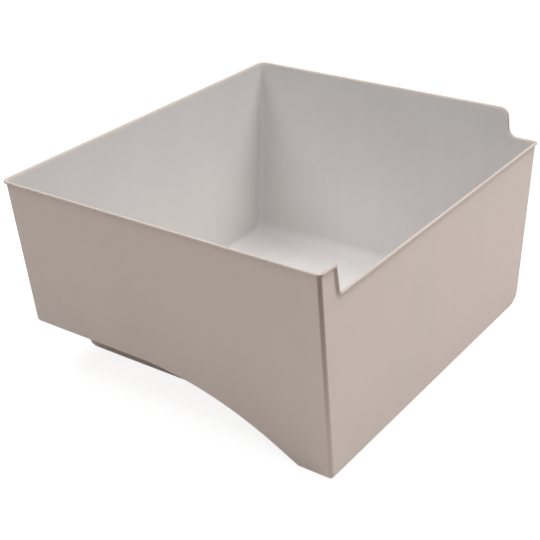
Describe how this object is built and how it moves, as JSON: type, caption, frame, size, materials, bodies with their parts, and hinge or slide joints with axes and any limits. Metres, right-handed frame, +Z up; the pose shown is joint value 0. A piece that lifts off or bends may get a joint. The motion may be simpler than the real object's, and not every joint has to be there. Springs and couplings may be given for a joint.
{
  "type": "fridge crisper drawer",
  "caption": "Open-topped moulded fridge crisper drawer with a fine rim lip, a lowered front rim and an arched recess that raises the left side of its floor.",
  "frame": {"origin": "centre of the bounding box in plan, at the underside of the deep floor", "axes": "+X across the width to the right seen from the front, +Y from the lowered front rim to the rear, +Z up"},
  "size_m": [0.5298, 0.452, 0.269],
  "materials": {
    "bin_plastic": "satin, warm light grey"
  },
  "bodies": {
    "root": {"crisper_drawer": "bin_plastic"}
  },
  "joints": []
}
